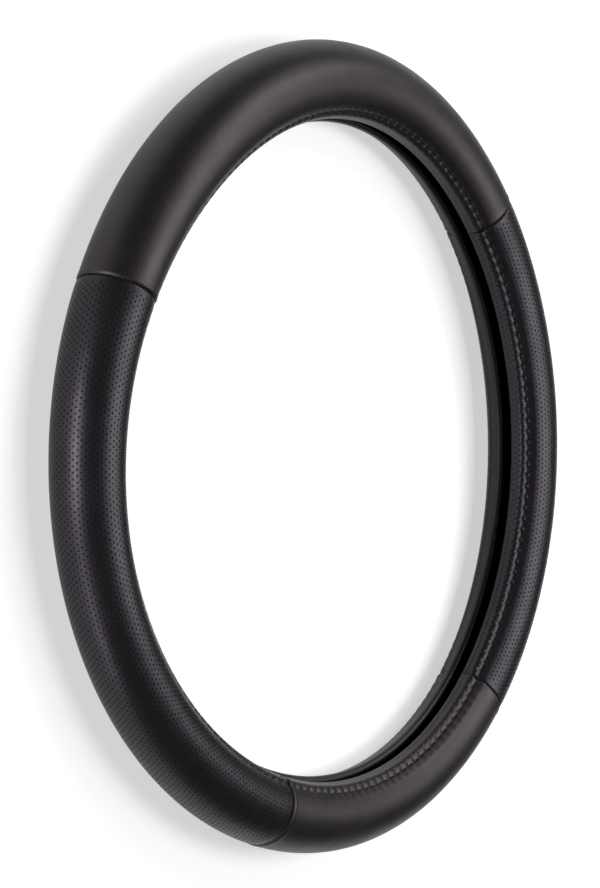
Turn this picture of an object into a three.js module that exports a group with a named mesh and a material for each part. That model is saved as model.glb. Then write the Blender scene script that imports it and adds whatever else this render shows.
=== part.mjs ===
// Slip-on steering wheel cover: a C-shaped rubber ring in a skin of four leather panels. The ring
// is in four lengths, one under each panel.
// Millimetres, +Z up along the ring's axis. The cover lies flat on its rear face, its front
// face up. The origin is at the middle of the footprint, and +Y points to the top of the wheel.
//
// The tube's section is drawn in polar form about the middle of the tube: rho is the distance
// from that middle, and phi the angle from the ring's centre line, positive towards the front.
// The slot that takes the wheel's rim opens at phi = 0, and the outside of the ring is at 180.
import * as THREE from "three";

// The ring and its tube
const OUTER_RADIUS = 192.5;
const TUBE_RADIUS = 18;
const REST_FLAT_WIDTH = 3.7; // the flat that the cover's own weight presses into its rear face
const SLOT_WIDTH = 7;

// The layers
const SKIN_THICKNESS = 1.2;
const LINING_THICKNESS = 2.4;
const LINING_LIP_THICKNESS = 1.6; // thinner where the hem is turned in over it
const LINING_STEP_WIDTH = 0.6;
const FIT_CLEARANCE = 0.3; // between one piece and the next

// The hem: the skin is turned round the lining's lip and stitched through it
const HEM_TURN_IN = 7; // length of the turned-in leather
const HEM_TO_STEP = 1.4; // from its edge to the thicker part of the lining
const STITCH_SETBACK = 6.9; // from the start of the rounded lip to the row of stitches
const STITCHES = 180;
const LIP_FACE_WIDTH = 1.8; // smooth leather from the start of the rounded lip to the gathers
const GATHER_REACH = 5; // from the stitches to where the wrinkles run out
const BEAD_OFFSET = 1.9; // from the stitches to the row of puffs beside the lip
const WRINKLE_OFFSET = 2.2; // from the stitches to the crest of the wrinkles
const BEAD_HEIGHT = 0.5;
const BEAD_PINCH = 0.1;
const WRINKLE_HEIGHT = 0.35;
const STITCH_GROOVE = 0.5; // depth between two stitches
const STITCH_PULL = 0.7; // depth at a stitch
const HEM_THREAD_RADIUS = 0.25;

// The panels, by the angle of their seams round the ring, anticlockwise from +X
const UPPER_RIGHT_SEAM = 33;
const UPPER_LEFT_SEAM = 147;
const LOWER_LEFT_SEAM = 243;
const LOWER_RIGHT_SEAM = 305;
const SEAM_GAP = 0.3;
const SEAM_DIP = 0.6; // how far the panels' ends roll down into the seam
const SEAM_ROLL_WIDTH = 1.1;
const SEAM_THREAD_RADIUS = 0.2;

// The slow waves of a soft ring that has lain folded: in millimetres on the outer radius, as a
// share of the tube's thickness, and in degrees of roll of the section round the tube
const RING_WAVES = [
  { lobes: 2, amplitude: 0.4, phase: 13 },
  { lobes: 3, amplitude: 1.3, phase: 64 },
];
const THICKNESS_WAVES = [
  { lobes: 1, amplitude: 0.044, phase: 68 },
  { lobes: 2, amplitude: 0.041, phase: 97 },
  { lobes: 3, amplitude: 0.027, phase: 114 },
];
const ROLL_WAVES = [
  { lobes: 1, amplitude: 5.5, phase: 209 },
  { lobes: 3, amplitude: 1.9, phase: 6 },
];

// How finely the curves are cut
const COLUMNS_PER_STITCH = 2;
const STITCHES_PER_SPAN = 4; // a span is one facet of the plain surfaces
const OUTER_ROWS = [163, 146, 129, 112];
const LINING_ROWS = [160, 140, 120, 100, 80];
const BORE_ROWS = [140, 100];
const LIP_SEGMENTS = 3;
const THREAD_SIDES = 3;
const HEM_THREAD_SPAN = 5; // in degrees

// Sizes that follow from those above
const RING_RADIUS = OUTER_RADIUS - TUBE_RADIUS; // of the tube's centre line
const SKIN_INSIDE = TUBE_RADIUS - SKIN_THICKNESS;
const LINING_OUTSIDE = SKIN_INSIDE - FIT_CLEARANCE;
const LINING_INSIDE = LINING_OUTSIDE - LINING_THICKNESS;
const LINING_LIP_INSIDE = LINING_OUTSIDE - LINING_LIP_THICKNESS;
const HEM_OUTSIDE = LINING_LIP_INSIDE - FIT_CLEARANCE;
const HEM_INSIDE = HEM_OUTSIDE - SKIN_THICKNESS;
const LIP_RADIUS = (TUBE_RADIUS - HEM_INSIDE) / 2;
const LIP_MIDDLE = (TUBE_RADIUS + HEM_INSIDE) / 2;
const LIP_ANGLE = degrees(Math.asin((SLOT_WIDTH / 2 + LIP_RADIUS) / LIP_MIDDLE));
const STITCH_ANGLE = LIP_ANGLE + arcAngle(STITCH_SETBACK, TUBE_RADIUS);
const GATHER_END = STITCH_ANGLE + arcAngle(GATHER_REACH, TUBE_RADIUS);
const BEAD_ANGLE = STITCH_ANGLE - arcAngle(BEAD_OFFSET, TUBE_RADIUS);
const WRINKLE_ANGLE = STITCH_ANGLE + arcAngle(WRINKLE_OFFSET, TUBE_RADIUS);
const HEM_END = LIP_ANGLE + arcAngle(HEM_TURN_IN, HEM_OUTSIDE);
const LINING_STEP = HEM_END + arcAngle(HEM_TO_STEP, LINING_LIP_INSIDE);
const REST_HALF_ANGLE = degrees(Math.asin(REST_FLAT_WIDTH / 2 / TUBE_RADIUS));
const ROLL_END = 90 - REST_HALF_ANGLE; // the section rolls up to the rest face, which stays level
const REST_HEIGHT = TUBE_RADIUS * Math.cos(radians(REST_HALF_ANGLE));
const STITCH_PITCH = 360 / STITCHES;

function leather(color, roughness) {
  return new THREE.MeshStandardMaterial({ color, roughness, metalness: 0 });
}

const smoothLeather = leather(0x1b1a1d, 0.42);
const perforatedLeather = leather(0x232226, 0.6);
const rubber = new THREE.MeshStandardMaterial({ color: 0x101010, roughness: 0.85, metalness: 0 });
const thread = new THREE.MeshStandardMaterial({ color: 0x161616, roughness: 0.75, metalness: 0 });

function radians(angle) {
  return THREE.MathUtils.degToRad(angle);
}

function degrees(angle) {
  return THREE.MathUtils.radToDeg(angle);
}

// The angle that an arc of a given length takes on a circle of a given radius
function arcAngle(length, radius) {
  return degrees(length / radius);
}

function wave(terms, theta) {
  return terms.reduce(
    (sum, { lobes, amplitude, phase }) => sum + amplitude * Math.cos(radians(lobes * (theta - phase))),
    0,
  );
}

// The full roll at the lips, fading to none at the rest face
function rolled(phi, theta) {
  const share = THREE.MathUtils.clamp((ROLL_END - Math.abs(phi)) / (ROLL_END - GATHER_END), 0, 1);
  return phi + share * wave(ROLL_WAVES, theta);
}

// A point of the section in its place on the settled ring, whose tube stands on its rest flat
// wherever it is thicker or thinner; phi runs from -180 to 180 here
function onRing(rho, phi, theta) {
  const turned = radians(rolled(phi, theta));
  const thickness = 1 + wave(THICKNESS_WAVES, theta);
  const outside = OUTER_RADIUS + wave(RING_WAVES, theta);
  const radius = outside - thickness * (TUBE_RADIUS + rho * Math.cos(turned));
  const height = thickness * (REST_HEIGHT + rho * Math.sin(turned));
  const around = radians(theta);
  return new THREE.Vector3(radius * Math.cos(around), radius * Math.sin(around), height);
}

// The points of a half-round lip, from the outer surface to the inner one
function lip(radius) {
  const points = [];
  for (let i = 0; i <= LIP_SEGMENTS; i++) {
    const turn = (Math.PI * i) / LIP_SEGMENTS;
    const up = LIP_MIDDLE + radius * Math.cos(turn);
    const along = radius * Math.sin(turn);
    points.push({ rho: Math.hypot(up, along), phi: LIP_ANGLE - degrees(Math.atan2(along, up)) });
  }
  return points;
}

// The other half of a symmetrical section, so that the two join up in one loop
function mirrored(points) {
  return points.map((point) => ({ ...point, phi: -point.phi })).reverse();
}

// How far the outer surface stands proud at a row of the hem, by the place between two stitches
const GATHERS = {
  bead: { between: BEAD_HEIGHT, stitch: -BEAD_PINCH },
  stitch: { between: -STITCH_GROOVE, stitch: -STITCH_PULL },
  wrinkle: { between: WRINKLE_HEIGHT, stitch: -WRINKLE_HEIGHT },
};

function gathered(gather, theta) {
  const { between, stitch } = GATHERS[gather];
  const swing = Math.cos((2 * Math.PI * theta) / STITCH_PITCH);
  return (between + stitch) / 2 + ((between - stitch) / 2) * swing;
}

// One half of the skin's section, from the slot side of the turned-in hem to the back of the ring
function skinOutside() {
  const plain = (phi) => ({ rho: TUBE_RADIUS, phi, dips: true });
  const fine = (phi, gather) => ({ ...plain(phi), gather });
  return [
    ...lip(LIP_RADIUS).reverse(),
    plain(LIP_ANGLE + arcAngle(LIP_FACE_WIDTH, TUBE_RADIUS)),
    fine(BEAD_ANGLE, "bead"),
    fine(STITCH_ANGLE, "stitch"),
    fine(WRINKLE_ANGLE, "wrinkle"),
    plain(GATHER_END),
    plain((GATHER_END + ROLL_END) / 2),
    plain(ROLL_END),
    plain(180 - ROLL_END),
    ...OUTER_ROWS.map(plain).reverse(),
  ];
}

function skinInside() {
  const middle = (LIP_ANGLE + HEM_END) / 2;
  return [
    ...LINING_ROWS.map((phi) => ({ rho: SKIN_INSIDE, phi })),
    { rho: SKIN_INSIDE, phi: GATHER_END },
    { rho: SKIN_INSIDE, phi: (LIP_ANGLE + GATHER_END) / 2 },
    ...lip(LINING_LIP_THICKNESS / 2 + FIT_CLEARANCE),
    { rho: HEM_OUTSIDE, phi: middle },
    { rho: HEM_OUTSIDE, phi: HEM_END },
    { rho: HEM_INSIDE, phi: HEM_END },
    { rho: HEM_INSIDE, phi: middle },
  ];
}

function skinSection() {
  const outside = skinOutside();
  const inside = skinInside();
  const back = { rho: TUBE_RADIUS, phi: 180, dips: true };
  const liningSide = { rho: SKIN_INSIDE, phi: 180 };
  return [...outside, back, ...mirrored(outside), ...mirrored(inside), liningSide, ...inside];
}

function liningSection() {
  const outside = [
    ...lip(LINING_LIP_THICKNESS / 2).reverse(),
    { rho: LINING_OUTSIDE, phi: (LIP_ANGLE + GATHER_END) / 2 },
    { rho: LINING_OUTSIDE, phi: GATHER_END },
    ...LINING_ROWS.map((phi) => ({ rho: LINING_OUTSIDE, phi })).reverse(),
  ];
  const inside = [
    ...BORE_ROWS.map((phi) => ({ rho: LINING_INSIDE, phi })),
    { rho: LINING_INSIDE, phi: LINING_STEP + arcAngle(LINING_STEP_WIDTH, LINING_INSIDE) },
    { rho: LINING_LIP_INSIDE, phi: LINING_STEP },
    { rho: LINING_LIP_INSIDE, phi: (LIP_ANGLE + HEM_END) / 2 },
  ];
  const back = { rho: LINING_OUTSIDE, phi: 180 };
  const boreSide = { rho: LINING_INSIDE, phi: 180 };
  return [...outside, back, ...mirrored(outside), ...mirrored(inside), boreSide, ...inside];
}

// Triangles between two neighbouring rows, which may be cut into different numbers of columns
function zip(lower, upper, triangles) {
  let i = 0;
  let j = 0;
  while (i < lower.length - 1 || j < upper.length - 1) {
    const stepLower = i < lower.length - 1 ? Math.abs(lower[i + 1].along - upper[j].along) : Infinity;
    const stepUpper = j < upper.length - 1 ? Math.abs(upper[j + 1].along - lower[i].along) : Infinity;
    if (stepLower <= stepUpper) {
      triangles.push(lower[i].at, upper[j].at, lower[i + 1].at);
      i++;
    } else {
      triangles.push(lower[i].at, upper[j].at, upper[j + 1].at);
      j++;
    }
  }
}

// A wall over rows of points, the last of which joins the first again
function wallOver(rows) {
  const triangles = [];
  rows.forEach((row, i) => zip(row, rows[(i + 1) % rows.length], triangles));
  return triangles;
}

// The flat end of a panel or a length of lining, filled across its section
function endCap(section, theta, facing, triangles) {
  const outline = section.map(({ rho, phi }) => {
    const turned = radians(rolled(phi, theta));
    return new THREE.Vector2(rho * Math.cos(turned), rho * Math.sin(turned));
  });
  const corners = section.map(({ rho, phi }) => onRing(rho, phi, theta));
  for (const [a, b, c] of THREE.ShapeUtils.triangulateShape(outline, [])) {
    triangles.push(...(facing ? [corners[a], corners[c], corners[b]] : [corners[a], corners[b], corners[c]]));
  }
}

function meshOf(name, material, triangles) {
  const mesh = new THREE.Mesh(new THREE.BufferGeometry().setFromPoints(triangles), material);
  mesh.geometry.computeVertexNormals();
  mesh.name = name;
  return mesh;
}

// The same section set out at each of some angles round the ring
function setOut(section, columns) {
  return section.map(({ rho, phi }) =>
    columns.map((theta) => ({ along: theta, at: onRing(rho, phi, theta) })),
  );
}

// The angles at which a panel is cut: every column in the gathers, one column a span elsewhere
function columnsOf(from, to) {
  const fineStep = STITCH_PITCH / COLUMNS_PER_STITCH;
  const fineCount = Math.round((to - from) / fineStep);
  const spans = Math.max(1, Math.round((to - from) / (STITCH_PITCH * STITCHES_PER_SPAN)));
  const between = (count) =>
    Array.from({ length: count - 1 }, (_, i) => from + ((i + 1) * (to - from)) / count);
  return { fine: between(fineCount), plain: between(spans) };
}

// One length of the rubber lining, under one panel
function liningMesh(name, from, to) {
  const gap = arcAngle(SEAM_GAP / 2, RING_RADIUS);
  const start = from + gap;
  const end = to - gap;
  const section = liningSection();
  const triangles = wallOver(setOut(section, [start, ...columnsOf(from, to).plain, end]));
  endCap(section, start, true, triangles);
  endCap(section, end, false, triangles);
  return meshOf(name, rubber, triangles);
}

// One leather panel between two seams, its ends rolled down into them
function panelMesh(name, material, from, to) {
  const gap = arcAngle(SEAM_GAP / 2, RING_RADIUS);
  const roll = arcAngle(SEAM_ROLL_WIDTH, RING_RADIUS);
  const start = from + gap;
  const end = to - gap;
  const { fine, plain } = columnsOf(from, to);
  const section = skinSection();

  const heightAt = ({ dips, gather }, theta) => {
    const surface = gather ? gathered(gather, theta) : 0;
    const atSeam = theta === start || theta === end;
    return dips && atSeam ? Math.min(surface, -SEAM_DIP) : surface;
  };
  const rows = section.map((point) => {
    const inner = point.gather ? fine : plain;
    const shoulders = point.dips ? { first: [start + roll], last: [end - roll] } : { first: [], last: [] };
    const columns = [start, ...shoulders.first, ...inner, ...shoulders.last, end];
    return columns.map((theta) => ({
      along: theta,
      at: onRing(point.rho + heightAt(point, theta), point.phi, theta),
    }));
  });

  const triangles = wallOver(rows);
  const ends = (theta) => section.map((point) => ({ ...point, rho: point.rho + heightAt(point, theta) }));
  endCap(ends(start), start, true, triangles);
  endCap(ends(end), end, false, triangles);
  return meshOf(name, material, triangles);
}

// The row of thread that lies in the groove of a hem, on the front (side 1) or the rear (side -1)
function hemThreadMesh(name, side) {
  const middle = TUBE_RADIUS - STITCH_GROOVE + FIT_CLEARANCE + HEM_THREAD_RADIUS;
  const section = Array.from({ length: THREAD_SIDES }, (_, i) => {
    const turn = (2 * Math.PI * i) / THREAD_SIDES;
    const up = middle + HEM_THREAD_RADIUS * Math.cos(turn);
    const across = degrees(Math.atan2(HEM_THREAD_RADIUS * Math.sin(turn), up));
    return { rho: up, phi: side * STITCH_ANGLE + across };
  });
  const count = 360 / HEM_THREAD_SPAN;
  const columns = Array.from({ length: count + 1 }, (_, i) => HEM_THREAD_SPAN * i);
  return meshOf(name, thread, wallOver(setOut(section, columns)));
}

// The thread in the valley of a seam, from one hem round the outside of the tube to the other
function seamThreadMesh(name, seam) {
  const halfTurn = [WRINKLE_ANGLE, GATHER_END, (GATHER_END + ROLL_END) / 2, ROLL_END, 180 - ROLL_END];
  const front = [...halfTurn, ...[...OUTER_ROWS].reverse()];
  const stations = [...front, 180, ...[...front].reverse().map((phi) => -phi)];
  const middle = TUBE_RADIUS - SEAM_THREAD_RADIUS;
  const rows = Array.from({ length: THREAD_SIDES }, (_, i) => {
    const turn = (2 * Math.PI * i) / THREAD_SIDES;
    const rho = middle + SEAM_THREAD_RADIUS * Math.cos(turn);
    const theta = seam - arcAngle(SEAM_THREAD_RADIUS * Math.sin(turn), RING_RADIUS);
    return stations.map((phi, step) => ({ along: step, at: onRing(rho, phi, theta) }));
  });
  const triangles = wallOver(rows);
  const ends = (step) => rows.map((row) => row.at(step).at);
  triangles.push(...ends(0).reverse(), ...ends(-1));
  return meshOf(name, thread, triangles);
}

const PANELS = [
  { side: "top", material: smoothLeather, from: UPPER_RIGHT_SEAM, to: UPPER_LEFT_SEAM },
  { side: "left", material: perforatedLeather, from: UPPER_LEFT_SEAM, to: LOWER_LEFT_SEAM },
  { side: "bottom", material: smoothLeather, from: LOWER_LEFT_SEAM, to: LOWER_RIGHT_SEAM },
  { side: "right", material: perforatedLeather, from: LOWER_RIGHT_SEAM, to: UPPER_RIGHT_SEAM + 360 },
];
const SEAMS = [
  { place: "upper_right", at: UPPER_RIGHT_SEAM },
  { place: "upper_left", at: UPPER_LEFT_SEAM },
  { place: "lower_left", at: LOWER_LEFT_SEAM },
  { place: "lower_right", at: LOWER_RIGHT_SEAM },
];

const cover = new THREE.Group();
cover.name = "steering_wheel_cover";

for (const { side, material, from, to } of PANELS) {
  cover.add(liningMesh(`${side}_rubber`, from, to));
  cover.add(panelMesh(`${side}_panel`, material, from, to));
}
cover.add(hemThreadMesh("front_hem_thread", 1));
cover.add(hemThreadMesh("rear_hem_thread", -1));
for (const { place, at } of SEAMS) {
  cover.add(seamThreadMesh(`${place}_seam_thread`, at));
}

export default cover;
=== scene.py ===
"""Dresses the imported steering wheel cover: four leather panels with gathered hems, the rubber
lining in their slot and the stitching, lying on a white studio floor."""

import logging
import math
from dataclasses import dataclass
from enum import Enum
from typing import Any

import bmesh
import bpy
import numpy as np
from mathutils import Matrix, Vector
from mathutils.geometry import tessellate_polygon


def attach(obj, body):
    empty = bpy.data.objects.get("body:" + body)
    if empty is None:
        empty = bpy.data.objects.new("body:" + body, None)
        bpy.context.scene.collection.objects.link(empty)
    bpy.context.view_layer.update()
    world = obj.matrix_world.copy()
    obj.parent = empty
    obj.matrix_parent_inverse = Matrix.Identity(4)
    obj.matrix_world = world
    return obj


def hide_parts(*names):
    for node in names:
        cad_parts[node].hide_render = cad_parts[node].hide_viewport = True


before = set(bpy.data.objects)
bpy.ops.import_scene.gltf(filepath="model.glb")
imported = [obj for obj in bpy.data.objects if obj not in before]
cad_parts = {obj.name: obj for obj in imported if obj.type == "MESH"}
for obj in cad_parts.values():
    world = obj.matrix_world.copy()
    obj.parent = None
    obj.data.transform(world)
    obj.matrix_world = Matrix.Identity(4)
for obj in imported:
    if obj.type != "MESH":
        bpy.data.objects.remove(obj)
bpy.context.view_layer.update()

MILLIMETRE = 0.001
# How far the rim of a punched hole stands proud, in millimetres.
HOLE_RIM = 0.02

log = logging.getLogger("steering_wheel_cover")


class Leather(Enum):
    """The two leathers that the cover is sewn from."""

    SMOOTH = "smooth"
    PERFORATED = "perforated"


class Hem(Enum):
    """The two hems along the slot; the value is the sign of their angle round the tube."""

    FRONT = 1
    REAR = -1


def linear(colour: str) -> tuple[float, float, float, float]:
    """Turns an sRGB hex colour into Blender's linear one.

    Args:
        colour: six hex digits after a hash sign.

    Returns:
        Red, green, blue and an alpha of 1.
    """
    shares = [int(colour[i : i + 2], 16) / 255 for i in (1, 3, 5)]
    turned = [s / 12.92 if s <= 0.04045 else ((s + 0.055) / 1.055) ** 2.4 for s in shares]
    return (*turned, 1.0)


def add_node(
    tree: bpy.types.NodeTree,
    kind: str,
    inputs: dict[str | int, Any] | None = None,
    **settings: Any,
) -> bpy.types.Node:
    """Adds a node with its settings, and sets or links its inputs.

    Args:
        tree: the node tree that takes the node.
        kind: Blender's name for the type of node.
        inputs: for each input, by name or number, its value or the output that feeds it.
        settings: the node's own properties.

    Returns:
        The new node.
    """
    node = tree.nodes.new(kind)
    for name, value in settings.items():
        setattr(node, name, value)
    for key, value in (inputs or {}).items():
        if isinstance(value, bpy.types.NodeSocket):
            tree.links.new(value, node.inputs[key])
        else:
            node.inputs[key].default_value = value
    return node


def new_material(name: str) -> tuple[bpy.types.Material, bpy.types.NodeTree, bpy.types.Node]:
    """Makes an empty node material.

    Args:
        name: the material's name.

    Returns:
        The material, its tree, and the Principled shader that is linked to its output.
    """
    material = bpy.data.materials.new(name)
    material.use_nodes = True
    tree = material.node_tree
    tree.nodes.clear()
    shader = add_node(tree, "ShaderNodeBsdfPrincipled")
    add_node(tree, "ShaderNodeOutputMaterial", {"Surface": shader.outputs["BSDF"]})
    return material, tree, shader


def add_object(name: str, data: bpy.types.ID) -> bpy.types.Object:
    """Makes an object and links it to the scene.

    Args:
        name: the object's name.
        data: its mesh, lamp or camera.

    Returns:
        The new object.
    """
    item = bpy.data.objects.new(name, data)
    bpy.context.scene.collection.objects.link(item)
    return item


@dataclass(frozen=True)
class CoatedLeather:
    """Split leather with a polyurethane coat, rolled with a fine pebble grain.

    The coat is satin: it gives one broad soft light along the tube, broken a little by the
    grain and by the soft unevenness of the padded ring below. Its cast is the faint violet of
    black dye in the light that the coat throws back. Sizes are in millimetres.
    """

    name: str
    colour: str
    worn_colour: str
    roughness: float
    ior: float
    cast: str
    gloss_swing: float = 0.03
    mottle_size: float = 22.0
    grain: float = 0.9
    grain_depth: float = 0.035
    softness: float = 14.0
    softness_depth: float = 0.25

    def make(self) -> bpy.types.Material:
        """Builds the material on Object coordinates.

        Returns:
            The material.
        """
        material, tree, shader = new_material(self.name)
        place = add_node(tree, "ShaderNodeTexCoord").outputs["Object"]
        mottle = add_node(
            tree,
            "ShaderNodeTexNoise",
            {"Vector": place, "Scale": 1 / (self.mottle_size * MILLIMETRE), "Detail": 3.0},
        )
        colour = add_node(
            tree,
            "ShaderNodeMix",
            {0: mottle.outputs["Fac"], 6: linear(self.colour), 7: linear(self.worn_colour)},
            data_type="RGBA",
        )
        gloss = add_node(
            tree,
            "ShaderNodeMapRange",
            {
                "Value": mottle.outputs["Fac"],
                "From Min": 0.3,
                "From Max": 0.7,
                "To Min": self.roughness - self.gloss_swing,
                "To Max": self.roughness + self.gloss_swing,
            },
        )
        soft = add_node(
            tree,
            "ShaderNodeTexNoise",
            {"Vector": place, "Scale": 1 / (self.softness * MILLIMETRE), "Detail": 2.0},
        )
        pebble = add_node(
            tree,
            "ShaderNodeTexVoronoi",
            {"Vector": place, "Scale": 1 / (self.grain * MILLIMETRE)},
            feature="SMOOTH_F1",
        )
        soft_bump = add_node(
            tree,
            "ShaderNodeBump",
            {"Height": soft.outputs["Fac"], "Distance": self.softness_depth * MILLIMETRE},
        )
        grain_bump = add_node(
            tree,
            "ShaderNodeBump",
            {
                "Height": pebble.outputs["Distance"],
                "Distance": self.grain_depth * MILLIMETRE,
                "Normal": soft_bump.outputs["Normal"],
            },
            invert=True,
        )
        tree.links.new(colour.outputs[2], shader.inputs["Base Color"])
        tree.links.new(gloss.outputs["Result"], shader.inputs["Roughness"])
        tree.links.new(grain_bump.outputs["Normal"], shader.inputs["Normal"])
        shader.inputs["IOR"].default_value = self.ior
        shader.inputs["Specular Tint"].default_value = linear(self.cast)
        return material


@dataclass(frozen=True)
class PlainFinish:
    """A matt finish with a fine unevenness: rubber, thread, or the dark walls and floor of a
    punched hole, which are painted shade.
    """

    name: str
    colour: str
    light_colour: str
    roughness: float
    ior: float
    pattern: float
    depth: float

    def make(self) -> bpy.types.Material:
        """Builds the material on Object coordinates.

        Returns:
            The material.
        """
        material, tree, shader = new_material(self.name)
        place = add_node(tree, "ShaderNodeTexCoord").outputs["Object"]
        noise = add_node(
            tree,
            "ShaderNodeTexNoise",
            {"Vector": place, "Scale": 1 / (self.pattern * MILLIMETRE), "Detail": 2.0},
        )
        colour = add_node(
            tree,
            "ShaderNodeMix",
            {0: noise.outputs["Fac"], 6: linear(self.colour), 7: linear(self.light_colour)},
            data_type="RGBA",
        )
        bump = add_node(
            tree,
            "ShaderNodeBump",
            {"Height": noise.outputs["Fac"], "Distance": self.depth * MILLIMETRE},
        )
        tree.links.new(colour.outputs[2], shader.inputs["Base Color"])
        tree.links.new(bump.outputs["Normal"], shader.inputs["Normal"])
        shader.inputs["Roughness"].default_value = self.roughness
        shader.inputs["IOR"].default_value = self.ior
        return material


# Satin, nearly black split leather with a thin coat: it gives broad soft lights, not mirrors.
SMOOTH_LEATHER = CoatedLeather(
    "satin_coated_leather", "#100e10", "#141214", 0.46, 1.45, "#fff0f9"
)
# The same leather under the punch: a little greyer between the holes, and its lights are weaker.
PERFORATED_LEATHER = CoatedLeather(
    "perforated_coated_leather", "#131114", "#171518", 0.40, 1.38, "#faf0ff"
)
# The walls and floor of a punched hole are painted shade: a dull colour a little darker than the
# coat, so that each hole reads as a dark dot.
PAINTED_HOLE_SHADE = PlainFinish("painted_shade_in_the_holes", "#0c0c0d", "#121213", 0.85, 1.35, 0.5, 0.02)
# Carbon-black rubber from a mould: dull, with almost no colour of its own.
LINING_RUBBER = PlainFinish("moulded_black_rubber", "#080808", "#0c0c0c", 0.7, 1.45, 1.2, 0.02)
# Twisted polyester thread; the twist of 0.15 mm is too fine to show, so it is drawn at 0.5 mm.
SEWING_THREAD = PlainFinish("polyester_sewing_thread", "#09090a", "#111112", 0.75, 1.4, 0.5, 0.05)


@dataclass(frozen=True)
class Wave:
    """One slow wave round the ring: its number of lobes, its amplitude and its phase in degrees."""

    lobes: int
    amplitude: float
    phase: float


def wave_sum(terms: tuple[Wave, ...], theta: np.ndarray) -> np.ndarray:
    """Adds up waves at angles round the ring, in degrees."""
    return sum(t.amplitude * np.cos(np.radians(t.lobes * (theta - t.phase))) for t in terms)


def smoothstep(share: np.ndarray) -> np.ndarray:
    """Eases a share from 0 to 1."""
    kept = np.clip(share, 0.0, 1.0)
    return kept * kept * (3 - 2 * kept)


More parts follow.
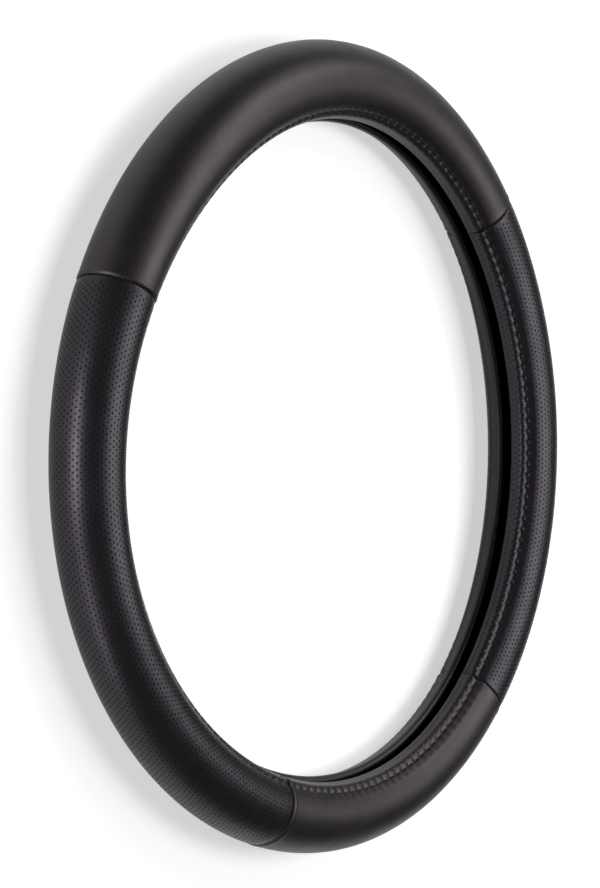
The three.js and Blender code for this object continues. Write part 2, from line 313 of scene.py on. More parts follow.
@dataclass(frozen=True)
class SettledTube:
    """The shape of the soft ring, as the CAD part has it, in millimetres and degrees.

    A point of the section has its distance rho from the middle of the tube and its angle phi
    from the wheel's centre line, positive to the front. The slot is at phi 0.
    """

    outer_radius: float = 192.5
    tube_radius: float = 18.0
    rest_flat_width: float = 3.7
    slot_width: float = 7.0
    skin_thickness: float = 1.2
    lining_thickness: float = 2.4
    lining_lip_thickness: float = 1.6
    lining_step_width: float = 0.6
    fit_clearance: float = 0.3
    hem_turn_in: float = 7.0
    hem_to_step: float = 1.4
    stitch_setback: float = 6.9
    gather_reach: float = 5.0
    stitches: int = 180
    ring_waves: tuple[Wave, ...] = (Wave(2, 0.4, 13), Wave(3, 1.3, 64))
    thickness_waves: tuple[Wave, ...] = (
        Wave(1, 0.044, 68),
        Wave(2, 0.041, 97),
        Wave(3, 0.027, 114),
    )
    roll_waves: tuple[Wave, ...] = (Wave(1, 5.5, 209), Wave(3, 1.9, 6))

    @property
    def ring_radius(self) -> float:
        """Radius of the tube's centre line."""
        return self.outer_radius - self.tube_radius

    @property
    def skin_inside(self) -> float:
        """The skin's inner surface."""
        return self.tube_radius - self.skin_thickness

    @property
    def lining_outside(self) -> float:
        """The lining's outer surface."""
        return self.skin_inside - self.fit_clearance

    @property
    def lining_inside(self) -> float:
        """The lining's bore."""
        return self.lining_outside - self.lining_thickness

    @property
    def lining_lip_inside(self) -> float:
        """The lining's inner surface where the hem is turned in over it."""
        return self.lining_outside - self.lining_lip_thickness

    @property
    def hem_outside(self) -> float:
        """The side of the turned-in hem that lies on the lining."""
        return self.lining_lip_inside - self.fit_clearance

    @property
    def hem_inside(self) -> float:
        """The side of the turned-in hem that faces the wheel's rim."""
        return self.hem_outside - self.skin_thickness

    @property
    def lip_middle(self) -> float:
        """Distance of the rounded lip's middle from the middle of the tube."""
        return (self.tube_radius + self.hem_inside) / 2

    @property
    def lip_radius(self) -> float:
        """Radius of the rounded lip."""
        return (self.tube_radius - self.hem_inside) / 2

    @property
    def lip_angle(self) -> float:
        """The angle at which the rounded lip starts."""
        return math.degrees(math.asin((self.slot_width / 2 + self.lip_radius) / self.lip_middle))

    @property
    def stitch_angle(self) -> float:
        """The angle of the hem's row of stitches."""
        return self.lip_angle + math.degrees(self.stitch_setback / self.tube_radius)

    @property
    def gather_end(self) -> float:
        """The angle at which the gathers have run out."""
        return self.stitch_angle + math.degrees(self.gather_reach / self.tube_radius)

    @property
    def hem_end(self) -> float:
        """The angle of the turned-in hem's edge."""
        return self.lip_angle + math.degrees(self.hem_turn_in / self.hem_outside)

    @property
    def lining_step(self) -> float:
        """The angle at which the lining gets thicker."""
        return self.hem_end + math.degrees(self.hem_to_step / self.lining_lip_inside)

    @property
    def roll_end(self) -> float:
        """The angle up to which the section rolls round the tube."""
        half = math.degrees(math.asin(self.rest_flat_width / 2 / self.tube_radius))
        return 90 - half

    @property
    def rest_height(self) -> float:
        """Height of the tube's middle above the floor."""
        return self.tube_radius * math.sin(math.radians(self.roll_end))

    @property
    def stitch_pitch(self) -> float:
        """Degrees from one stitch of a hem to the next."""
        return 360 / self.stitches

    def place(self, rho: np.ndarray, phi: np.ndarray, theta: np.ndarray) -> np.ndarray:
        """Puts points of the section in their places on the settled ring.

        Args:
            rho: distances from the middle of the tube.
            phi: angles round the tube.
            theta: angles round the ring, from +X towards +Y.

        Returns:
            Points in metres, with x, y and z along the last axis.
        """
        rho, phi, theta = np.broadcast_arrays(
            np.asarray(rho, float), np.asarray(phi, float), np.asarray(theta, float)
        )
        phi = (phi + 180) % 360 - 180
        share = np.clip((self.roll_end - np.abs(phi)) / (self.roll_end - self.gather_end), 0, 1)
        turned = np.radians(phi + share * wave_sum(self.roll_waves, theta))
        thickness = 1 + wave_sum(self.thickness_waves, theta)
        outside = self.outer_radius + wave_sum(self.ring_waves, theta)
        radius = outside - thickness * (self.tube_radius + rho * np.cos(turned))
        height = thickness * (self.rest_height + rho * np.sin(turned))
        around = np.radians(theta)
        return MILLIMETRE * np.stack(
            [radius * np.cos(around), radius * np.sin(around), height], axis=-1
        )

    def lip_points(
        self, radius: float, segments: int, reach: float = 0.0, dip: float = 0.0
    ) -> list[tuple[float, float]]:
        """Gives a half-round lip's section.

        Args:
            radius: the lip's radius.
            segments: the number of straight pieces.
            reach: how much further the lip goes into the slot.
            dip: how much lower its outer side lies.

        Returns:
            Pairs of rho and phi, from the outer side to the inner one.
        """
        turn = np.linspace(0, math.pi, segments + 1)
        rise = np.where(turn < math.pi / 2, radius - dip, radius)
        up = self.lip_middle + rise * np.cos(turn)
        along = reach + radius * np.sin(turn)
        return list(
            zip(np.hypot(up, along), self.lip_angle - np.degrees(np.arctan2(along, up)))
        )


@dataclass(frozen=True)
class Row:
    """A row of a shell's points: the number of its first, and their angles round the ring."""

    first: int
    along: np.ndarray

    @property
    def last(self) -> int:
        """The last point's number."""
        return self.first + len(self.along) - 1


class Shell:
    """Collects one closed mesh, row by row round the tube's section."""

    def __init__(self) -> None:
        """Starts without points and faces."""
        self.points: list[np.ndarray] = []
        self.faces: list[tuple[int, ...]] = []
        self.holes: list[float] = []
        self.count = 0

    def add_row(self, points: np.ndarray, along: np.ndarray) -> Row:
        """Adds a row of points.

        Args:
            points: the points, in metres.
            along: their angles round the ring, rising.

        Returns:
            The row, for joining to its neighbours.
        """
        row = Row(self.count, along)
        self.points.append(points)
        self.count += len(points)
        return row

    def add_face(self, corners: tuple[int, ...], hole: float = 0.0) -> None:
        """Adds a face, with the share of its width that a perforation takes."""
        self.faces.append(corners)
        self.holes.append(hole)

    def add_quad(self, lower: int, upper: int, hole: float = 0.0) -> None:
        """Adds the quad that starts at a point of one row and a point of the next."""
        self.add_face((lower, upper, upper + 1, lower + 1), hole)

    def join(self, lower: Row, upper: Row, holes: dict[int, float] | None = None) -> None:
        """Joins two neighbouring rows, by quads where their columns agree and else by triangles.

        Args:
            lower: the row that comes first in the section's order.
            upper: the row that comes next.
            holes: the quads that are perforated, with the share of their width that it takes.
        """
        a, b = lower.first, upper.first
        if len(lower.along) == len(upper.along) and np.allclose(lower.along, upper.along):
            for i in range(len(lower.along) - 1):
                self.add_quad(a + i, b + i, (holes or {}).get(i, 0.0))
            return
        i = j = 0
        while a + i < lower.last or b + j < upper.last:
            step_lower = step_upper = math.inf
            if a + i < lower.last:
                step_lower = abs(lower.along[i + 1] - upper.along[j])
            if b + j < upper.last:
                step_upper = abs(upper.along[j + 1] - lower.along[i])
            if step_lower <= step_upper:
                self.add_face((a + i, b + j, a + i + 1))
                i += 1
            else:
                self.add_face((a + i, b + j, b + j + 1))
                j += 1

    def cap(self, corners: list[int], outline: list[tuple[float, float]]) -> None:
        """Fills a flat end.

        Args:
            corners: the points of the end, in the section's order.
            outline: their places in the section's plane.
        """
        for triangle in tessellate_polygon([[Vector((x, y, 0)) for x, y in outline]]):
            self.add_face(tuple(corners[i] for i in triangle))

    def to_object(self, name: str, material: bpy.types.Material) -> bpy.types.Object:
        """Makes the mesh object, its faces turned outwards.

        Args:
            name: the piece's name.
            material: its finish.

        Returns:
            The new object, linked to the scene.
        """
        mesh = bpy.data.meshes.new(name)
        mesh.from_pydata(np.concatenate(self.points).tolist(), [], self.faces)
        mesh.attributes.new("hole", "FLOAT", "FACE").data.foreach_set("value", self.holes)
        work = bmesh.new()
        work.from_mesh(mesh)
        bmesh.ops.recalc_face_normals(work, faces=work.faces)
        work.to_mesh(mesh)
        work.free()
        mesh.shade_smooth()
        mesh.materials.append(material)
        return add_object(name, mesh)


def bake(piece: bpy.types.Object, tree: bpy.types.NodeTree, values: dict[str, Any]) -> None:
    """Runs a Geometry Nodes tree on a piece and leaves its result as the plain mesh.

    Args:
        piece: the mesh object that goes in.
        tree: the tree.
        values: the tree's inputs by name.
    """
    modifier = piece.modifiers.new(tree.name, "NODES")
    modifier.node_group = tree
    for item in tree.interface.items_tree:
        if item.item_type == "SOCKET" and item.in_out == "INPUT" and item.name in values:
            modifier[item.identifier] = values[item.name]
    graph = bpy.context.evaluated_depsgraph_get()
    result = bpy.data.meshes.new_from_object(piece.evaluated_get(graph))
    piece.modifiers.remove(modifier)
    piece.data = result
    result.name = piece.name


def new_tree(name: str, sockets: dict[str, str]) -> tuple[bpy.types.NodeTree, bpy.types.Node]:
    """Makes a Geometry Nodes tree with a geometry input and output, and named inputs.

    Args:
        name: the tree's name.
        sockets: the type of each further input, by its name.

    Returns:
        The tree and its input node.
    """
    tree = bpy.data.node_groups.new(name, "GeometryNodeTree")
    tree.is_modifier = True
    tree.interface.new_socket("Geometry", in_out="INPUT", socket_type="NodeSocketGeometry")
    for socket, kind in sockets.items():
        tree.interface.new_socket(socket, in_out="INPUT", socket_type=kind)
    tree.interface.new_socket("Geometry", in_out="OUTPUT", socket_type="NodeSocketGeometry")
    return tree, add_node(tree, "NodeGroupInput")


def end_tree(tree: bpy.types.NodeTree, geometry: bpy.types.NodeSocket, **inputs: Any) -> None:
    """Realizes the instances, sets the material and links the tree's output.

    Args:
        tree: the tree.
        geometry: what the tree has made.
        inputs: the Set Material node's inputs apart from its geometry.
    """
    real = add_node(tree, "GeometryNodeRealizeInstances", {"Geometry": geometry})
    inputs["Geometry"] = real.outputs["Geometry"]
    dressed = add_node(tree, "GeometryNodeSetMaterial", inputs)
    add_node(tree, "NodeGroupOutput", {"Geometry": dressed.outputs["Geometry"]})


def perforation_tree() -> bpy.types.NodeTree:
    """Builds the tree that punches a hole into each marked face of a skin.

    The faces carry hole, the share of their width that their hole takes.

    Returns:
        A tree with the inputs Depth, Floor share and Edge material.
    """
    tree, given = new_tree(
        "punched_holes",
        {
            "Depth": "NodeSocketFloat",
            "Floor share": "NodeSocketFloat",
            "Hole shade material": "NodeSocketMaterial",
        },
    )
    share = add_node(tree, "GeometryNodeInputNamedAttribute", {"Name": "hole"}, data_type="FLOAT")
    hole = share.outputs["Attribute"]
    marked = add_node(tree, "ShaderNodeMath", {0: hole, 1: 0.0}, operation="GREATER_THAN")
    inwards = add_node(
        tree, "ShaderNodeMath", {0: given.outputs["Depth"], 1: -1.0}, operation="MULTIPLY"
    )
    mesh, chosen = given.outputs["Geometry"], marked.outputs["Value"]
    # First a rim that stands proud of the leather, then the cup that goes down inside it.
    for offset, width in (
        (HOLE_RIM * MILLIMETRE, hole),
        (inwards.outputs["Value"], given.outputs["Floor share"]),
    ):
        raised = add_node(
            tree,
            "GeometryNodeExtrudeMesh",
            {"Mesh": mesh, "Selection": chosen, "Offset Scale": offset, "Individual": True},
            mode="FACES",
        )
        chosen = raised.outputs["Top"]
        scaled = add_node(
            tree,
            "GeometryNodeScaleElements",
            {"Geometry": raised.outputs["Mesh"], "Selection": chosen, "Scale": width},
            domain="FACE",
        )
        mesh = scaled.outputs["Geometry"]
    inside = add_node(
        tree,
        "FunctionNodeBooleanMath",
        {0: raised.outputs["Top"], 1: raised.outputs["Side"]},
        operation="OR",
    ).outputs["Boolean"]
    for domain in ("FACE", "EDGE"):
        sharp = add_node(
            tree,
            "GeometryNodeSetShadeSmooth",
            {"Geometry": mesh, "Selection": inside, "Shade Smooth": False},
            domain=domain,
        )
        mesh = sharp.outputs["Geometry"]
    # The walls and floors of the holes take the dark material, which is painted shade in the holes.
    end_tree(tree, mesh, Selection=inside, Material=given.outputs["Hole shade material"])
    return tree


def stitch_tree() -> bpy.types.NodeTree:
    """Builds the tree that lays one short thread at each point of a row.

    The points carry the directions along and outward.

    Returns:
        A tree with the inputs Half span, Thread radius, Dip, Rise, Reach and Material.
    """
    lengths = ("Half span", "Thread radius", "Dip", "Rise", "Reach")
    tree, given = new_tree(
        "stitches",
        {**{name: "NodeSocketFloat" for name in lengths}, "Material": "NodeSocketMaterial"},
    )
    negative = {
        name: add_node(
            tree, "ShaderNodeMath", {0: given.outputs[name], 1: -1.0}, operation="MULTIPLY"
        ).outputs["Value"]
        for name in ("Half span", "Dip", "Reach")
    }
    corners = {
        "Start": (negative["Half span"], negative["Dip"]),
        "Start Handle": (negative["Reach"], given.outputs["Rise"]),
        "End Handle": (given.outputs["Reach"], given.outputs["Rise"]),
        "End": (given.outputs["Half span"], negative["Dip"]),
    }
    places = {
        name: add_node(tree, "ShaderNodeCombineXYZ", {"X": x, "Z": z}).outputs["Vector"]
        for name, (x, z) in corners.items()
    }
    arch = add_node(
        tree,
        "GeometryNodeCurvePrimitiveBezierSegment",
        {"Resolution": 7, **places},
        mode="POSITION",
    )
    profile = add_node(
        tree,
        "GeometryNodeCurvePrimitiveCircle",
        {"Resolution": 6, "Radius": given.outputs["Thread radius"]},
    )
    thread = add_node(
        tree,
        "GeometryNodeCurveToMesh",
        {
            "Curve": arch.outputs["Curve"],
            "Profile Curve": profile.outputs["Curve"],
            "Fill Caps": True,
        },
    )
    shaded = add_node(tree, "GeometryNodeSetShadeSmooth", {"Geometry": thread.outputs["Mesh"]})
    directions = {
        name: add_node(
            tree, "GeometryNodeInputNamedAttribute", {"Name": name}, data_type="FLOAT_VECTOR"
        ).outputs["Attribute"]
        for name in ("along", "outward")
    }
    turn = add_node(
        tree,
        "FunctionNodeAxesToRotation",
        {"Primary Axis": directions["outward"], "Secondary Axis": directions["along"]},
        primary_axis="Z",
        secondary_axis="X",
    )
    laid = add_node(
        tree,
        "GeometryNodeInstanceOnPoints",
        {
            "Points": given.outputs["Geometry"],
            "Instance": shaded.outputs["Geometry"],
            "Rotation": turn.outputs["Rotation"],
        },
    )
    end_tree(tree, laid.outputs["Instances"], Material=given.outputs["Material"])
    return tree


@dataclass(frozen=True)
class Gathers:
    """The puckers that the hem's stitches pull into the leather, in millimetres.

    On the lip's side the leather rises to a crest and slopes down from there to the stitches, in
    a row of beads with a pinch at each stitch, which starts pinch_lead before the crest and dies
    out over the share pinch_fade of the way beyond the stitches. There the leather rises slowly,
    with faint wrinkles that lean by up to the share lean of a pitch. The pull is the short dent
    at the stitch itself. The beads are fullest where the slack wave has its crest.
    """

    crest_offset: float = 2.9
    crest_height: float = 0.6
    crest_round: float = 0.08
    bead_height: float = 0.2
    groove: float = 0.75
    pinch: float = 0.35
    pinch_lead: float = 0.9
    pinch_fade: float = 0.3
    pull: float = 0.7
    pull_width: float = 0.6
    pull_reach: float = 0.5
    valley_offset: float = 1.3
    valley: float = 0.55
    wrinkle_height: float = 0.08
    wrinkle_lead: float = 0.6
    lean: float = 0.15
    unevenness: float = 0.25
    slack: Wave = Wave(1, 0.4, -10)
    seed: int = 7

    def height(self, tube: SettledTube, setback: np.ndarray, theta: np.ndarray) -> np.ndarray:
        """Gives how far the outer surface stands proud in a hem.

        Args:
            tube: the ring's shape.
            setback: distance from the start of the rounded lip, along the skin.
            theta: angle round the ring.

        Returns:
            Heights in millimetres.
        """
        phase = (theta / tube.stitch_pitch - 0.5) % 1.0
        between = np.sin(math.pi * phase)
        rng = np.random.default_rng(self.seed)
        degrees = np.arange(361)
        knots = rng.uniform(1 - self.unevenness, 1 + self.unevenness, (3, len(degrees)))
        knots[:, -1] = knots[:, 0]
        fullness, crease, lean = (np.interp(theta % 360, degrees, k) for k in knots)
        slack = 1 - self.slack.amplitude + wave_sum((self.slack,), theta)
        line = tube.stitch_setback
        crest, end = line - self.crest_offset, line + tube.gather_reach
        rise = smoothstep(setback / crest) * self.crest_height
        slope = np.clip((setback - crest) / self.crest_offset, 0, 1)
        slope = (np.hypot(slope, self.crest_round) - self.crest_round) / (
            math.hypot(1, self.crest_round) - self.crest_round
        )
        fall = -slope * (self.crest_height + self.groove)
        lift = smoothstep((setback - line) / self.valley_offset) * (self.groove - self.valley)
        back = smoothstep((setback - line - self.valley_offset) / (end - line - self.valley_offset))
        base = rise + fall + lift + back * self.valley
        bead = self.bead_height * fullness * between * np.sin(math.pi * slope)
        lead = smoothstep((setback - crest + self.pinch_lead) / (2 * self.pinch_lead))
        past = np.clip((setback - line) / (end - line), 0, 1)
        pinch = self.pinch * (1 - between) ** 2 * lead * (1 - smoothstep(past / self.pinch_fade))
        swing = np.cos(2 * math.pi * (phase + self.lean * (lean - 1)))
        swing = swing * np.sin(math.pi * past**self.wrinkle_lead)
        width = np.where(setback < line, self.pull_width, self.pull_reach)
        pulled = np.exp(-(((setback - line) / width) ** 2)) * (1 - between**2)
        shaped = base + bead - pinch - self.wrinkle_height * crease * swing
        return np.where(setback < end, slack * shaped - self.pull * crease * pulled, 0.0)


@dataclass(frozen=True)
class SkinPanel:
    """One leather panel between two cross seams, its hems turned in.

    Its ends roll down into the seams, smooth leather over a low ridge and perforated leather out
    of a shallow hollow. The hems are cut finely, for their gathers, and the rest more coarsely:
    the columns count the pieces per stitch. Sizes are in millimetres, start and end in degrees.
    """

    side: str
    leather: Leather
    start: float
    end: float
    tube: SettledTube = SettledTube()
    gathers: Gathers = Gathers()
    seam_gap: float = 0.3
    seam_dip: float = 0.8
    seam_roll: float = 1.3
    seam_ridge: float = 0.2
    ridge_offset: float = 1.8
    ridge_width: float = 1.0
    hollow_width: float = 3.0
    seam_radius: float = 190.0
    end_steps: tuple[float, ...] = (0.0, 0.15, 0.35, 0.6, 0.9, 1.3, 1.8, 2.4, 3.2)
    end_margin: float = 1.1
    columns_per_stitch: int = 12
    plain_columns: int = 3
    inside_columns: int = 2
    inside_step: int = 20
    inside_setback: float = 8.0
    inside_lip_rows: int = 5
    hem_row: float = 0.6
    lip_rows: int = 7
    plain_row: float = 2.0
    hole_radius: float = 186.0
    hole_pitch: float = 2.7
    hole_rows: float = 1.95
    hole_width: float = 0.95
    hole_depth: float = 0.35
    hole_floor_share: float = 0.7
    hem_hole_rows: int = 4
    hem_hole_columns: int = 4
    hem_hole_share: float = 0.95
    front_lip_dip: float = 0.7
    front_lip_round: float = 2.2
    rear_lip_reach: float = 2.7

    @property
    def name(self) -> str:
        """The CAD node that this panel replaces."""
        return f"{self.side}_panel"

    def outer_setback(self, phi: np.ndarray) -> np.ndarray:
        """Gives the distance along the skin from the nearer lip."""
        away = np.minimum(phi, 360 - phi) - self.tube.lip_angle
        return np.radians(away) * self.tube.tube_radius

    def end_height(self, theta: np.ndarray) -> np.ndarray:
        """Gives how a panel's end rolls down into its seam, and the ridge or hollow beside it.

        Args:
            theta: angles round the ring.

        Returns:
            Heights in millimetres.
        """
        away = np.minimum(theta - self.start, self.end - theta)
        distance = np.radians(away) * self.tube.outer_radius - self.seam_gap / 2
        short = np.clip(1 - distance / self.seam_roll, 0, 1)
        rolled = -self.seam_dip * (1 - np.sqrt(1 - short**2))
        if self.leather is Leather.SMOOTH:
            beside = (distance - self.ridge_offset) / self.ridge_width
            return rolled + self.seam_ridge * np.exp(-(beside**2))
        return rolled - self.seam_ridge * np.exp(-((distance / self.hollow_width) ** 2))

    def columns(self, per_stitch: float) -> np.ndarray:
        """Gives the angles at which rows are cut, closer together at the panel's ends.

        Args:
            per_stitch: the number of pieces for each stitch of the hem.

        Returns:
            Angles round the ring, rising.
        """
        gap = math.degrees(self.seam_gap / 2 / self.tube.outer_radius)
        low, high = self.start + gap, self.end - gap
        near = np.degrees(np.array(self.end_steps) / self.seam_radius)
        margin = near[-1] * self.end_margin
        spans = round((self.end - self.start) / self.tube.stitch_pitch * per_stitch)
        middle = np.linspace(self.start, self.end, spans + 1)
        middle = middle[(middle > low + margin) & (middle < high - margin)]
        return np.concatenate([low + near, middle, high - near[::-1]])

    def add_outer_row(self, shell: Shell, phi: np.ndarray | float, theta: np.ndarray) -> Row:
        """Adds a row of the outer surface with its gathers and rolled ends.

        Args:
            shell: the shell being built.
            phi: the row's angle round the tube, or one for each point.
            theta: the points' angles round the ring.

        Returns:
            The new row.
        """
        phi = np.broadcast_to(np.asarray(phi, float), theta.shape)
        setback = self.outer_setback(phi)
        rise = self.gathers.height(self.tube, setback, theta) + self.end_height(theta)
        rounded = self.front_lip_dip * np.exp(-((setback / self.front_lip_round) ** 2))
        rise = rise - np.where(phi < 180, rounded, 0.0)
        points = self.tube.place(self.tube.tube_radius + rise, phi, theta)
        points[:, 2] = np.maximum(points[:, 2], 0.0)
        return shell.add_row(points, theta)

    def add_plain_row(self, shell: Shell, rho: float, phi: float, theta: np.ndarray) -> Row:
        """Adds a row of a lip or of the inside."""
        return shell.add_row(self.tube.place(rho, phi, theta), theta)

    def hem_holes(self, line: int | None, columns: int) -> dict[int, float]:
        """Gives the perforated quads below one row of a hem, staggered from line to line.

        Args:
            line: the row's number from the edge of the hem, None outside the hems.
            columns: the number of columns.

        Returns:
            The share of its width that the hole takes, for each perforated quad.
        """
        if line is None or self.leather is Leather.SMOOTH or line % self.hem_hole_rows:
            return {}
        shift = self.hem_hole_columns // 2 if line // self.hem_hole_rows % 2 else 0
        ends = self.hem_hole_columns * 2
        return {
            column: self.hem_hole_share
            for column in range(ends + shift, columns - 1 - ends, self.hem_hole_columns)
        }

    def honeycomb(self, shell: Shell, low: float, high: float) -> list[Row]:
        """Adds the perforated middle: cells in rows, each row half a cell off the next.

        Args:
            shell: the shell being built.
            low: the angle round the tube at which the cells start.
            high: the angle at which they end.

        Returns:
            The zigzag rows that bound the cells, joined to each other.
        """
        tube = self.tube
        edges, ends = self.columns(1), len(self.end_steps) - 1
        near, far = edges[:ends], edges[-ends:]
        first, last = near[-1], far[0]
        cells = round(math.radians(last - first) * self.hole_radius / self.hole_pitch)
        steps = np.linspace(first, last, 2 * cells + 1)
        theta = np.concatenate([near[:-1], steps, far[1:]])
        lead = len(near) - 1
        count = round(math.radians(high - low) * tube.tube_radius / self.hole_rows)
        pitch = (high - low) / count
        rows = []
        for line in range(count + 1):
            sign = np.where((np.arange(len(theta)) - lead + line) % 2 == 0, 1.0, -1.0)
            sign[:lead] = sign[lead]
            sign[lead + len(steps) :] = sign[lead + len(steps) - 1]
            # A sixth of a row up or down gives the hexagons their slanted sides.
            phi = low + pitch * (line + sign / 6)
            rows.append(self.add_outer_row(shell, phi, theta))
        for line, (lower, upper) in enumerate(zip(rows, rows[1:])):
            a, b = lower.first, upper.first
            late, after = line % 2, lead + 2 * cells
            quads = [*range(lead), *range(after, len(theta) - 1)]
            # Every other row starts half a cell late, so a plain quad fills each of its ends.
            for i in quads + [lead, after - 1] * late:
                shell.add_quad(a + i, b + i)
            for i in range(lead + late, after - 1, 2):
                hexagon = (a + i, b + i, b + i + 1, b + i + 2, a + i + 2, a + i + 1)
                shell.add_face(hexagon, self.hole_width / self.hole_pitch)
        return rows

    def build(self, material: bpy.types.Material) -> bpy.types.Object:
        """Builds the panel as one closed shell.

        Args:
            material: the leather.

        Returns:
            The panel, without its perforations.
        """
        tube, shell = self.tube, Shell()
        fine = self.columns(self.columns_per_stitch)
        coarse = self.columns(self.inside_columns)
        hem = np.degrees(
            np.arange(self.hem_row, tube.stitch_setback + tube.gather_reach, self.hem_row)
            / tube.tube_radius
        )
        hem = tube.lip_angle + hem
        front_lip = tube.lip_points(tube.lip_radius, self.lip_rows, dip=self.front_lip_dip)
        rear_lip = tube.lip_points(tube.lip_radius, self.lip_rows, reach=self.rear_lip_reach)
        rows: list[Row] = []

        def follow(row: Row, line: int | None = None) -> None:
            """Joins a row to the one before.

            Args:
                row: the new row.
                line: its number from the edge of the hem, None outside the hems.
            """
            if rows:
                shell.join(rows[-1], row, self.hem_holes(line, len(row.along)))
            rows.append(row)

        for rho, phi in reversed(front_lip[1:]):
            follow(self.add_plain_row(shell, rho, phi, fine))
        follow(self.add_outer_row(shell, tube.lip_angle, fine))
        for line, phi in enumerate(hem):
            follow(self.add_outer_row(shell, phi, fine), line)
        if self.leather is Leather.PERFORATED:
            cells = self.honeycomb(shell, tube.gather_end, 360 - tube.gather_end)
            shell.join(rows[-1], cells[0])
            rows.append(cells[-1])
        else:
            reach = math.radians(360 - 2 * tube.gather_end) * tube.tube_radius
            plain = self.columns(self.plain_columns)
            count = round(reach / self.plain_row)
            for phi in np.linspace(tube.gather_end, 360 - tube.gather_end, count + 1):
                follow(self.add_outer_row(shell, phi, plain))
        for line, phi in enumerate(360 - hem[::-1]):
            follow(self.add_outer_row(shell, phi, fine), line)
        follow(self.add_outer_row(shell, 360 - tube.lip_angle, fine))
        for rho, phi in rear_lip:
            follow(self.add_plain_row(shell, rho, -phi, fine))
        inside = self.inside_section()
        for rho, phi in [(rho, -phi) for rho, phi in inside[::-1]] + inside:
            follow(self.add_plain_row(shell, rho, phi, coarse))
        first = Row(0, fine)
        shell.join(rows[-1], first)
        self.close_ends(shell, rows, cells if self.leather is Leather.PERFORATED else None)
        return shell.to_object(f"{self.side}_skin", material)

    def inside_section(self) -> list[tuple[float, float]]:
        """Gives one half of the hidden side.

        Returns:
            Pairs of rho and phi, from the back of the ring to the hem's edge.
        """
        tube = self.tube
        middle = (tube.lip_angle + tube.hem_end) / 2
        angles = [*range(175, 70, -self.inside_step), tube.gather_end]
        plain = [(tube.skin_inside, phi) for phi in angles]
        plain += [(tube.skin_inside, tube.stitch_angle - self.inside_setback)]
        radius = tube.lining_lip_thickness / 2 + tube.fit_clearance
        turned = tube.lip_points(radius, self.inside_lip_rows)
        hem = [
            (tube.hem_outside, middle),
            (tube.hem_outside, tube.hem_end),
            (tube.hem_inside, tube.hem_end),
            (tube.hem_inside, middle),
        ]
        return plain + turned + hem

    def close_ends(self, shell: Shell, rows: list[Row], cells: list[Row] | None) -> None:
        """Fills the panel's two ends.

        Args:
            shell: the shell being built.
            rows: its rows, in the section's order.
            cells: the rows of the perforated middle, of which only the last is in rows.
        """
        if cells is not None:
            at = rows.index(cells[-1])
            rows = rows[:at] + cells[:-1] + rows[at:]
        points = np.concatenate(shell.points)
        for pick in ("first", "last"):
            corners = [getattr(row, pick) for row in rows]
            ends = points[corners]
            radius = np.hypot(ends[:, 0], ends[:, 1])
            shell.cap(corners, list(zip(radius / MILLIMETRE, ends[:, 2] / MILLIMETRE)))

    def dress(self, piece: bpy.types.Object, edge: bpy.types.Material) -> None:
        """Punches the perforations, where the panel has them.

        Args:
            piece: the panel.
            edge: the dark material of the holes' walls and floors, which is painted shade.
        """
        if self.leather is Leather.PERFORATED:
            values = {
                "Depth": self.hole_depth * MILLIMETRE,
                "Floor share": self.hole_floor_share,
                "Hole shade material": edge,
            }
            bake(piece, perforation_tree(), values)
        piece.data.attributes.remove(piece.data.attributes["hole"])

    def declare(self, piece: bpy.types.Object, lining: bpy.types.Object) -> None:
        """Hangs the panel on the root body and hides the CAD part that it stands for.

        Args:
            piece: the panel.
            lining: what it lies on; not used.
        """
        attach(piece, "root")
        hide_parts(self.name)


@dataclass(frozen=True)
class RubberLining:
    """The moulded ring in the skin, seen only through the slot. Sizes are in millimetres."""

    tube: SettledTube = SettledTube()
    columns: int = 240
    section_step: int = 12
    lip_rows: int = 6

    def section(self) -> list[tuple[float, float]]:
        """Gives the whole section, in the order of the skin's rows.

        Returns:
            Pairs of rho and phi.
        """
        tube = self.tube
        middle = (tube.lip_angle + tube.gather_end) / 2
        lip = tube.lip_points(tube.lining_lip_thickness / 2, self.lip_rows)
        back = list(range(72, 180, self.section_step))
        half = lip[::-1]
        half += [(tube.lining_outside, phi) for phi in (middle, tube.gather_end, *back)]
        step = tube.lining_step + math.degrees(tube.lining_step_width / tube.lining_inside)
        bore = [(tube.lining_inside, phi) for phi in (*reversed(back), step)]
        bore += [(tube.lining_lip_inside, tube.lining_step)]
        bore += [(tube.lining_lip_inside, (tube.lip_angle + tube.hem_end) / 2)]
        mirrored_half = [(rho, -phi) for rho, phi in half[::-1]]
        mirrored_bore = [(rho, -phi) for rho, phi in bore[::-1]]
        return [
            *half,
            (tube.lining_outside, 180.0),
            *mirrored_half,
            *mirrored_bore,
            (tube.lining_inside, 180.0),
            *bore,
        ]

    def build(self, material: bpy.types.Material) -> bpy.types.Object:
        """Args:
            material: the rubber.

        Returns:
            The ring.
        """
        section = self.section()
        theta = np.arange(self.columns) * 360 / self.columns
        rho, phi = (np.array(values)[:, None] for values in zip(*section))
        points = self.tube.place(rho, phi, theta[None, :]).reshape(-1, 3)
        mesh = bpy.data.meshes.new("rubber_lining")
        numbers = np.arange(len(points)).reshape(len(section), self.columns)
        below, beside = np.roll(numbers, -1, axis=0), np.roll(numbers, -1, axis=1)
        corners = (numbers, below, np.roll(below, -1, axis=1), beside)
        faces = np.stack(corners, axis=-1).reshape(-1, 4)
        mesh.from_pydata(points.tolist(), [], faces.tolist())
        mesh.shade_smooth()
        mesh.materials.append(material)
        piece = add_object("rubber_lining", mesh)
        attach(piece, "root")
        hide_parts("top_rubber", "left_rubber", "bottom_rubber", "right_rubber")
        return piece


@dataclass(frozen=True)
class Thread:
    """What every row of stitches is made with."""

    tree: bpy.types.NodeTree
    material: bpy.types.Material


